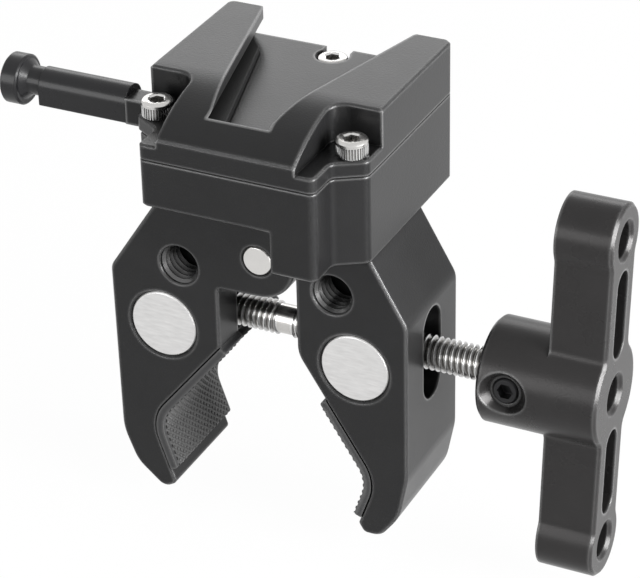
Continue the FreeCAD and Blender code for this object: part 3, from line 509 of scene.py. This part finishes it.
# %% [markdown]
# ## Cap screws
# Three socket cap screws hold the plate. Each head has fine upright grooves, a smooth band above them and a
# hexagonal socket. Cutting all that out of a cylinder would take many steps, so the screw is a stack of rings
# instead: each ring is extruded from the last and moved to its own radius and height. The socket's rings
# follow a hexagon, and the grooves come from two vertices in four lying slightly inwards.

# %% Rings that follow a circle, a hexagon or the grooves
HEAD_RADIUS = 3.5 * MM
GROOVE_DEPTH = 0.28 * MM
RING_COUNT = 144
GROOVE_STEPS = 4


def even(radius):
    """A round ring."""
    return lambda angle: radius


def grooved(angle):
    """The head's side: the second half of every GROOVE_STEPS vertices lies inwards."""
    step = round(angle / (math.tau / RING_COUNT))
    return HEAD_RADIUS - (GROOVE_DEPTH if step % GROOVE_STEPS >= GROOVE_STEPS / 2 else 0.0)


def hexagonal(corner_radius):
    """A hexagon: the distance from its centre to its side in each direction."""
    sector = math.radians(60)
    return lambda angle: (
        corner_radius * math.cos(sector / 2) / math.cos(angle % sector - sector / 2))


# %% Stack the rings
def stack_rings(bm, rings):
    """Build a closed shell in an empty bmesh. Each ring is its height and its radius for every angle."""
    bmesh.ops.create_circle(bm, cap_ends=False, segments=RING_COUNT, radius=1.0)
    loop = list(bm.verts)
    edges = list(bm.edges)
    for index, (height, radius_of) in enumerate(rings):
        if index > 0:
            grown = bmesh.ops.extrude_edge_only(bm, edges=edges)["geom"]
            loop = [item for item in grown if isinstance(item, bmesh.types.BMVert)]
            fresh = set(loop)
            edges = [item for item in grown
                     if isinstance(item, bmesh.types.BMEdge) and fresh.issuperset(item.verts)]
        for vert in loop:
            angle = math.atan2(vert.co.y, vert.co.x) % math.tau
            radius = radius_of(angle)
            vert.co = Vector((radius * math.cos(angle), radius * math.sin(angle), height))
        if index in (0, len(rings) - 1):
            bmesh.ops.contextual_create(bm, geom=edges)


# %% Build the three screws
HEAD_HEIGHT = 4.0 * MM
SHANK_RADIUS = 2.0 * MM
FOOT_CHAMFER = 0.3 * MM
GROOVES_END_BELOW_TOP = 1.3 * MM
BAND_STARTS_BELOW_TOP = 1.15 * MM
BAND_ENDS_BELOW_TOP = 0.5 * MM
SHOULDER = 0.2 * MM
TOP_INSET = 0.6 * MM
SOCKET_RADIUS = 1.73 * MM
SOCKET_DEPTH = 2.2 * MM
SOCKET_RIM = 0.25 * MM
SOCKET_CHAMFER = 0.22 * MM


def cap_screw(name, node):
    """One screw from the end of its shank up over the head and down into its socket."""
    low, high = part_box(node)
    centre = middle_of(node)
    under_head = high.z - HEAD_HEIGHT
    bm = bmesh.new()
    stack_rings(bm, [
        (low.z, even(SHANK_RADIUS)),
        (under_head, even(SHANK_RADIUS)),
        (under_head, even(HEAD_RADIUS - FOOT_CHAMFER)),
        (under_head + FOOT_CHAMFER, grooved),
        (high.z - GROOVES_END_BELOW_TOP, grooved),
        (high.z - BAND_STARTS_BELOW_TOP, even(HEAD_RADIUS)),
        (high.z - BAND_ENDS_BELOW_TOP, even(HEAD_RADIUS)),
        (high.z - SHOULDER, even(HEAD_RADIUS - SHOULDER)),
        (high.z, even(HEAD_RADIUS - TOP_INSET)),
        (high.z, even(SOCKET_RADIUS + SOCKET_RIM)),
        (high.z - SOCKET_CHAMFER, hexagonal(SOCKET_RADIUS)),
        (high.z - SOCKET_DEPTH, hexagonal(SOCKET_RADIUS)),
    ])
    bmesh.ops.translate(bm, vec=(centre.x, centre.y, 0), verts=bm.verts)
    return finish_piece(bm, name, "frame", cut_steel, [node])


for side in ("left", "right", "rear"):
    cap_screw("cap_screw_" + side, "plate_screw_" + side)

# %% [markdown]
# ## Knurled pads
# Each pad is bonded to the inner face of its jaw, and a field of small diamonds stands out from it, with a
# narrow smooth border on most sides and a gap where the rod passes. They are moulded in rubber. A bump could
# draw them, but the fixed pad is seen edge on, where only real relief shows its teeth. So rays from the
# middle of the gripped tube find the pad's face in the CAD mesh, the field follows its bend as a grid of
# squares, and extruding that grid lifts each corner to the height that two sets of crossed grooves leave.

# %% Sizes of the field
KNURL_PITCH = 1.7 * MM
KNURL_STEP = KNURL_PITCH / 8
KNURL_CREST = 0.25 * MM
KNURL_GROOVE = -0.35 * MM
KNURL_ROOT = -0.50 * MM
FLANK_STEEPNESS = 1.6
UPPER_BORDER = 1.3 * MM
TIP_BORDER = 0.3 * MM
BACK_BORDER = 0.5 * MM
FIXED_FRONT_BORDER = 0.05 * MM
MOVING_FRONT_BORDER = 1.3 * MM
ROD_SLOT_LOW = 15.7 * MM
ROD_SLOT_SIDE = 5.4 * MM

# %% Find the face of a pad
PAD_SAMPLES = 400
RAY_INSET = 3.0 * MM
NORMAL_REACH = 3


def pad_face(node, start_angle, end_angle):
    """Points where rays from the tube's axis meet the pad, beside the gap for the rod."""
    source = bmesh.new()
    source.from_mesh(frame["nodes"][node].data)
    tree = BVHTree.FromBMesh(source)
    source.free()
    eye = Vector((0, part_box(node)[0].y + RAY_INSET, 0))
    found = []
    for index in range(PAD_SAMPLES + 1):
        angle = start_angle + (end_angle - start_angle) * index / PAD_SAMPLES
        hit = tree.ray_cast(eye, Vector((math.cos(angle), 0, math.sin(angle))))[0]
        if hit is not None:
            found.append(Vector((hit.x, 0, hit.z)))
    print(node, "was met by", len(found), "rays")
    return found


def pad_path(node, start_angle, end_angle):
    """Evenly spaced points along the pad's face in the XZ plane, each with the normal that leaves the pad."""
    found = pad_face(node, start_angle, end_angle)
    lengths = [0.0]
    for first, second in zip(found, found[1:]):
        lengths.append(lengths[-1] + (second - first).length)
    count = int((lengths[-1] - TIP_BORDER - UPPER_BORDER) / KNURL_STEP)
    path = []
    place = 0
    for index in range(count + 1):
        wanted = TIP_BORDER + index * KNURL_STEP
        while lengths[place + 1] < wanted:
            place += 1
        share = (wanted - lengths[place]) / (lengths[place + 1] - lengths[place])
        point = found[place].lerp(found[place + 1], share)
        ahead = found[min(place + 1 + NORMAL_REACH, len(found) - 1)] - found[max(place - NORMAL_REACH, 0)]
        normal = Vector((-ahead.z, 0, ahead.x)).normalized()
        if normal.dot(point) > 0:
            normal = -normal
        path.append((point, normal))
    return path


# %% Raise the diamonds
def knurl_height(along_path, across_pad):
    """Two sets of V grooves cross at right angles and leave flat-topped diamonds."""
    shares = ((along_path + across_pad) / KNURL_PITCH, (along_path - across_pad) / KNURL_PITCH)
    rise = min(abs(2 * (share % 1.0) - 1.0) for share in shares)
    return KNURL_GROOVE + (KNURL_CREST - KNURL_GROOVE) * min(1.0, FLANK_STEEPNESS * rise)


def in_rod_slot(corners):
    """True for a square of the grid that would close the gap where the rod passes."""
    beside = min(abs(corner.co.y) for corner in corners)
    return beside < ROD_SLOT_SIDE and max(corner.co.z for corner in corners) > ROD_SLOT_LOW


def knurl_pad(name, node, body, path, front_border):
    """A closed field of diamonds along the path, from just inside the pad to its crests."""
    low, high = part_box(node)
    columns = int((high.y - low.y - BACK_BORDER - front_border) / KNURL_STEP)
    bm = bmesh.new()
    spot = bm.verts.layers.int.new("spot")
    lifted = []
    grid = []
    for row, (point, normal) in enumerate(path):
        line = []
        for column in range(columns + 1):
            across_y = low.y + front_border + column * KNURL_STEP
            vert = bm.verts.new(point + normal * KNURL_ROOT + Vector((0, across_y, 0)))
            vert[spot] = len(lifted)
            height = knurl_height(row * KNURL_STEP, column * KNURL_STEP)
            lifted.append(point + normal * height + Vector((0, across_y, 0)))
            line.append(vert)
        grid.append(line)
    for near, far in zip(grid, grid[1:]):
        for column in range(columns):
            corners = (near[column], near[column + 1], far[column + 1], far[column])
            if not in_rod_slot(corners):
                bm.faces.new(corners)
    bmesh.ops.delete(bm, geom=[vert for vert in bm.verts if not vert.link_faces], context="VERTS")
    grown = bmesh.ops.extrude_face_region(bm, geom=list(bm.faces), use_keep_orig=True)
    for item in grown["geom"]:
        if isinstance(item, bmesh.types.BMVert):
            item.co = lifted[item[spot]]
    return finish_piece(bm, name, body, pad_rubber, smooth=False)


# %% Knurl both pads
fixed_path = pad_path("fixed_pad", math.radians(-60), math.radians(75))
knurl_pad("fixed_pad_knurl", "fixed_pad", "frame", fixed_path, FIXED_FRONT_BORDER)
moving_path = pad_path("moving_pad", math.radians(245), math.radians(95))
knurl_pad("moving_pad_knurl", "moving_pad", "left_jaw", moving_path, MOVING_FRONT_BORDER)

# %% [markdown]
# ## Latch springs
# Two small coil springs push the latch bar out of the left wall of the recess. A curve with a round section
# could follow a helix, but a small circle spun round the spring's axis while it climbs is a mesh at once.
# The left end sits in the plate and the right end pushes the bar, so on the clamp the coil shortens towards
# its left end as the latch is drawn. Each coil here is built at the length of its CAD node.

# %% Coil the springs
WIRE_RADIUS = 0.2 * MM
WIRE_SIDES = 8
COIL_TURNS = 6
COIL_STEPS = 20 * COIL_TURNS


def coil_spring(name, node):
    """One spring, coiled the length of its CAD node."""
    low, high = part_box(node)
    centre = middle_of(node)
    coil_radius = (high.z - low.z) / 2 - WIRE_RADIUS
    length = high.x - low.x
    climb = (length - 2 * WIRE_RADIUS) / COIL_STEPS
    bm = bmesh.new()
    wire = bmesh.ops.create_circle(bm, cap_ends=True, segments=WIRE_SIDES, radius=WIRE_RADIUS)["verts"]
    bmesh.ops.rotate(bm, cent=(0, 0, 0), matrix=Matrix.Rotation(math.pi / 2, 3, "X"), verts=wire)
    bmesh.ops.translate(bm, vec=(low.x + WIRE_RADIUS, 0, coil_radius), verts=wire)
    bmesh.ops.spin(
        bm, geom=list(bm.verts) + list(bm.edges) + list(bm.faces), cent=(0, 0, 0), axis=(1, 0, 0),
        dvec=(climb, 0, 0), angle=math.tau * COIL_TURNS, steps=COIL_STEPS, use_merge=False,
    )
    bmesh.ops.translate(bm, vec=(0, centre.y, centre.z), verts=bm.verts)
    coil = finish_piece(bm, name, "frame", turned_steel, [node])
    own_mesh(coil)


coil_spring("latch_coil_front", "latch_spring_front")
coil_spring("latch_coil_rear", "latch_spring_rear")

# %% [markdown]
# ## The white background
# The photograph has a pure white background. More light would bleach the clamp, so the floor and the world
# are white by themselves instead, and only to rays that look at them: the camera's own, reflections in metal
# and rays through glass. All other rays meet a plain pale sheet under soft light, and the clamp still throws
# its soft shadow on that sheet.

# %% Tell rays that show the background from rays that only carry light
def seen_or_mirrored(tree):
    """1 where the camera, a reflection or glass looks at the background, 0 for soft light."""
    ray_kind = tree.nodes.new("ShaderNodeLightPath")
    total = ray_kind.outputs["Is Camera Ray"]
    for kind in ("Is Glossy Ray", "Is Transmission Ray"):
        either = tree.nodes.new("ShaderNodeMath")
        either.operation = "MAXIMUM"
        tree.links.new(total, either.inputs[0])
        tree.links.new(ray_kind.outputs[kind], either.inputs[1])
        total = either.outputs["Value"]
    return total


# %% Lay the floor
FLOOR_Z = -22 * MM
FLOOR_SIZE = 4.0

floor_mesh = bmesh.new()
bmesh.ops.create_grid(floor_mesh, x_segments=1, y_segments=1, size=FLOOR_SIZE)
bmesh.ops.translate(floor_mesh, vec=(0, 0, FLOOR_Z), verts=floor_mesh.verts)
floor_data = bpy.data.meshes.new("floor")
floor_mesh.to_mesh(floor_data)
floor_mesh.free()
floor = bpy.data.objects.new("floor", floor_data)
bpy.context.scene.collection.objects.link(floor)
print("floor at", round(FLOOR_Z / MM), "mm")

# %% Paint the floor as pale paper
PAPER_COLOUR = (0.86, 0.86, 0.86, 1)
PAPER_ROUGHNESS = 0.9
GLOW_SHARE = 0.97

paper = bpy.data.materials.new("pale_paper")
paper.use_nodes = True
paper_tree = paper.node_tree
paper_shader = paper_tree.nodes["Principled BSDF"]
paper_shader.inputs["Base Color"].default_value = PAPER_COLOUR
paper_shader.inputs["Roughness"].default_value = PAPER_ROUGHNESS
glow = add(paper_tree, "ShaderNodeEmission", Strength=1.0)
glow_amount = paper_tree.nodes.new("ShaderNodeMath")
glow_amount.operation = "MULTIPLY"
glow_amount.inputs[1].default_value = GLOW_SHARE
mixer = paper_tree.nodes.new("ShaderNodeMixShader")
paper_tree.links.new(seen_or_mirrored(paper_tree), glow_amount.inputs[0])
paper_tree.links.new(glow_amount.outputs["Value"], mixer.inputs["Fac"])
paper_tree.links.new(paper_shader.outputs["BSDF"], mixer.inputs[1])
paper_tree.links.new(glow.outputs["Emission"], mixer.inputs[2])
paper_tree.links.new(mixer.outputs["Shader"], paper_tree.nodes["Material Output"].inputs["Surface"])
floor.data.materials.append(paper)
print("the floor glows with", GLOW_SHARE, "of white where it is seen")

# %% Set the world
WORLD_FILL = 0.30
WORLD_SEEN = 1.0

world = bpy.data.worlds.new("studio")
bpy.context.scene.world = world
world.use_nodes = True
world_tree = world.node_tree
background = world_tree.nodes["Background"]
background.inputs["Color"].default_value = (1, 1, 1, 1)
world_strength = add(world_tree, "ShaderNodeMapRange", To_Min=WORLD_FILL, To_Max=WORLD_SEEN)
world_tree.links.new(seen_or_mirrored(world_tree), world_strength.inputs["Value"])
world_tree.links.new(world_strength.outputs["Result"], background.inputs["Strength"])
print("the world fills in with", WORLD_FILL)

# %% [markdown]
# ## Light
# The photograph has one large, strong source on the right, which lights every face that looks that way. The
# level faces mirror a pale sheet behind the clamp towards the camera, while the sloping ramp stays dark, and
# a weak light from the front left keeps the front faces from going black. Three area lamps do the same: they
# are large for their distance, so shadows and highlights have soft ends.

# %% Hang the lamps
def soft_lamp(name, position, aim, size, power):
    """A rectangular lamp that looks at a point of the clamp. Lengths in metres, power in watts."""
    lamp_data = bpy.data.lights.new(name, "AREA")
    lamp_data.shape = "RECTANGLE"
    lamp_data.size, lamp_data.size_y = size
    lamp_data.energy = power
    lamp = bpy.data.objects.new(name, lamp_data)
    bpy.context.scene.collection.objects.link(lamp)
    direction = Vector(aim) - Vector(position)
    facing = direction.to_track_quat("-Z", "Y").to_matrix().to_4x4()
    lamp.matrix_world = Matrix.Translation(position) @ facing
    print(name, "has", power, "W")


soft_lamp(
    "right_softbox", position=(0.75, -0.10, 0.22), aim=(0.0, 0.0, 0.03), size=(0.5, 0.5), power=18.0)
soft_lamp(
    "back_sheet", position=(-0.36, 0.72, 0.46), aim=(0.0, 0.0, 0.07), size=(1.2, 0.30), power=2.6)
soft_lamp(
    "front_fill", position=(-0.35, -0.70, 0.25), aim=(0.0, 0.0, 0.03), size=(0.4, 0.4), power=2.2)
bpy.context.scene.view_settings.view_transform = "Standard"
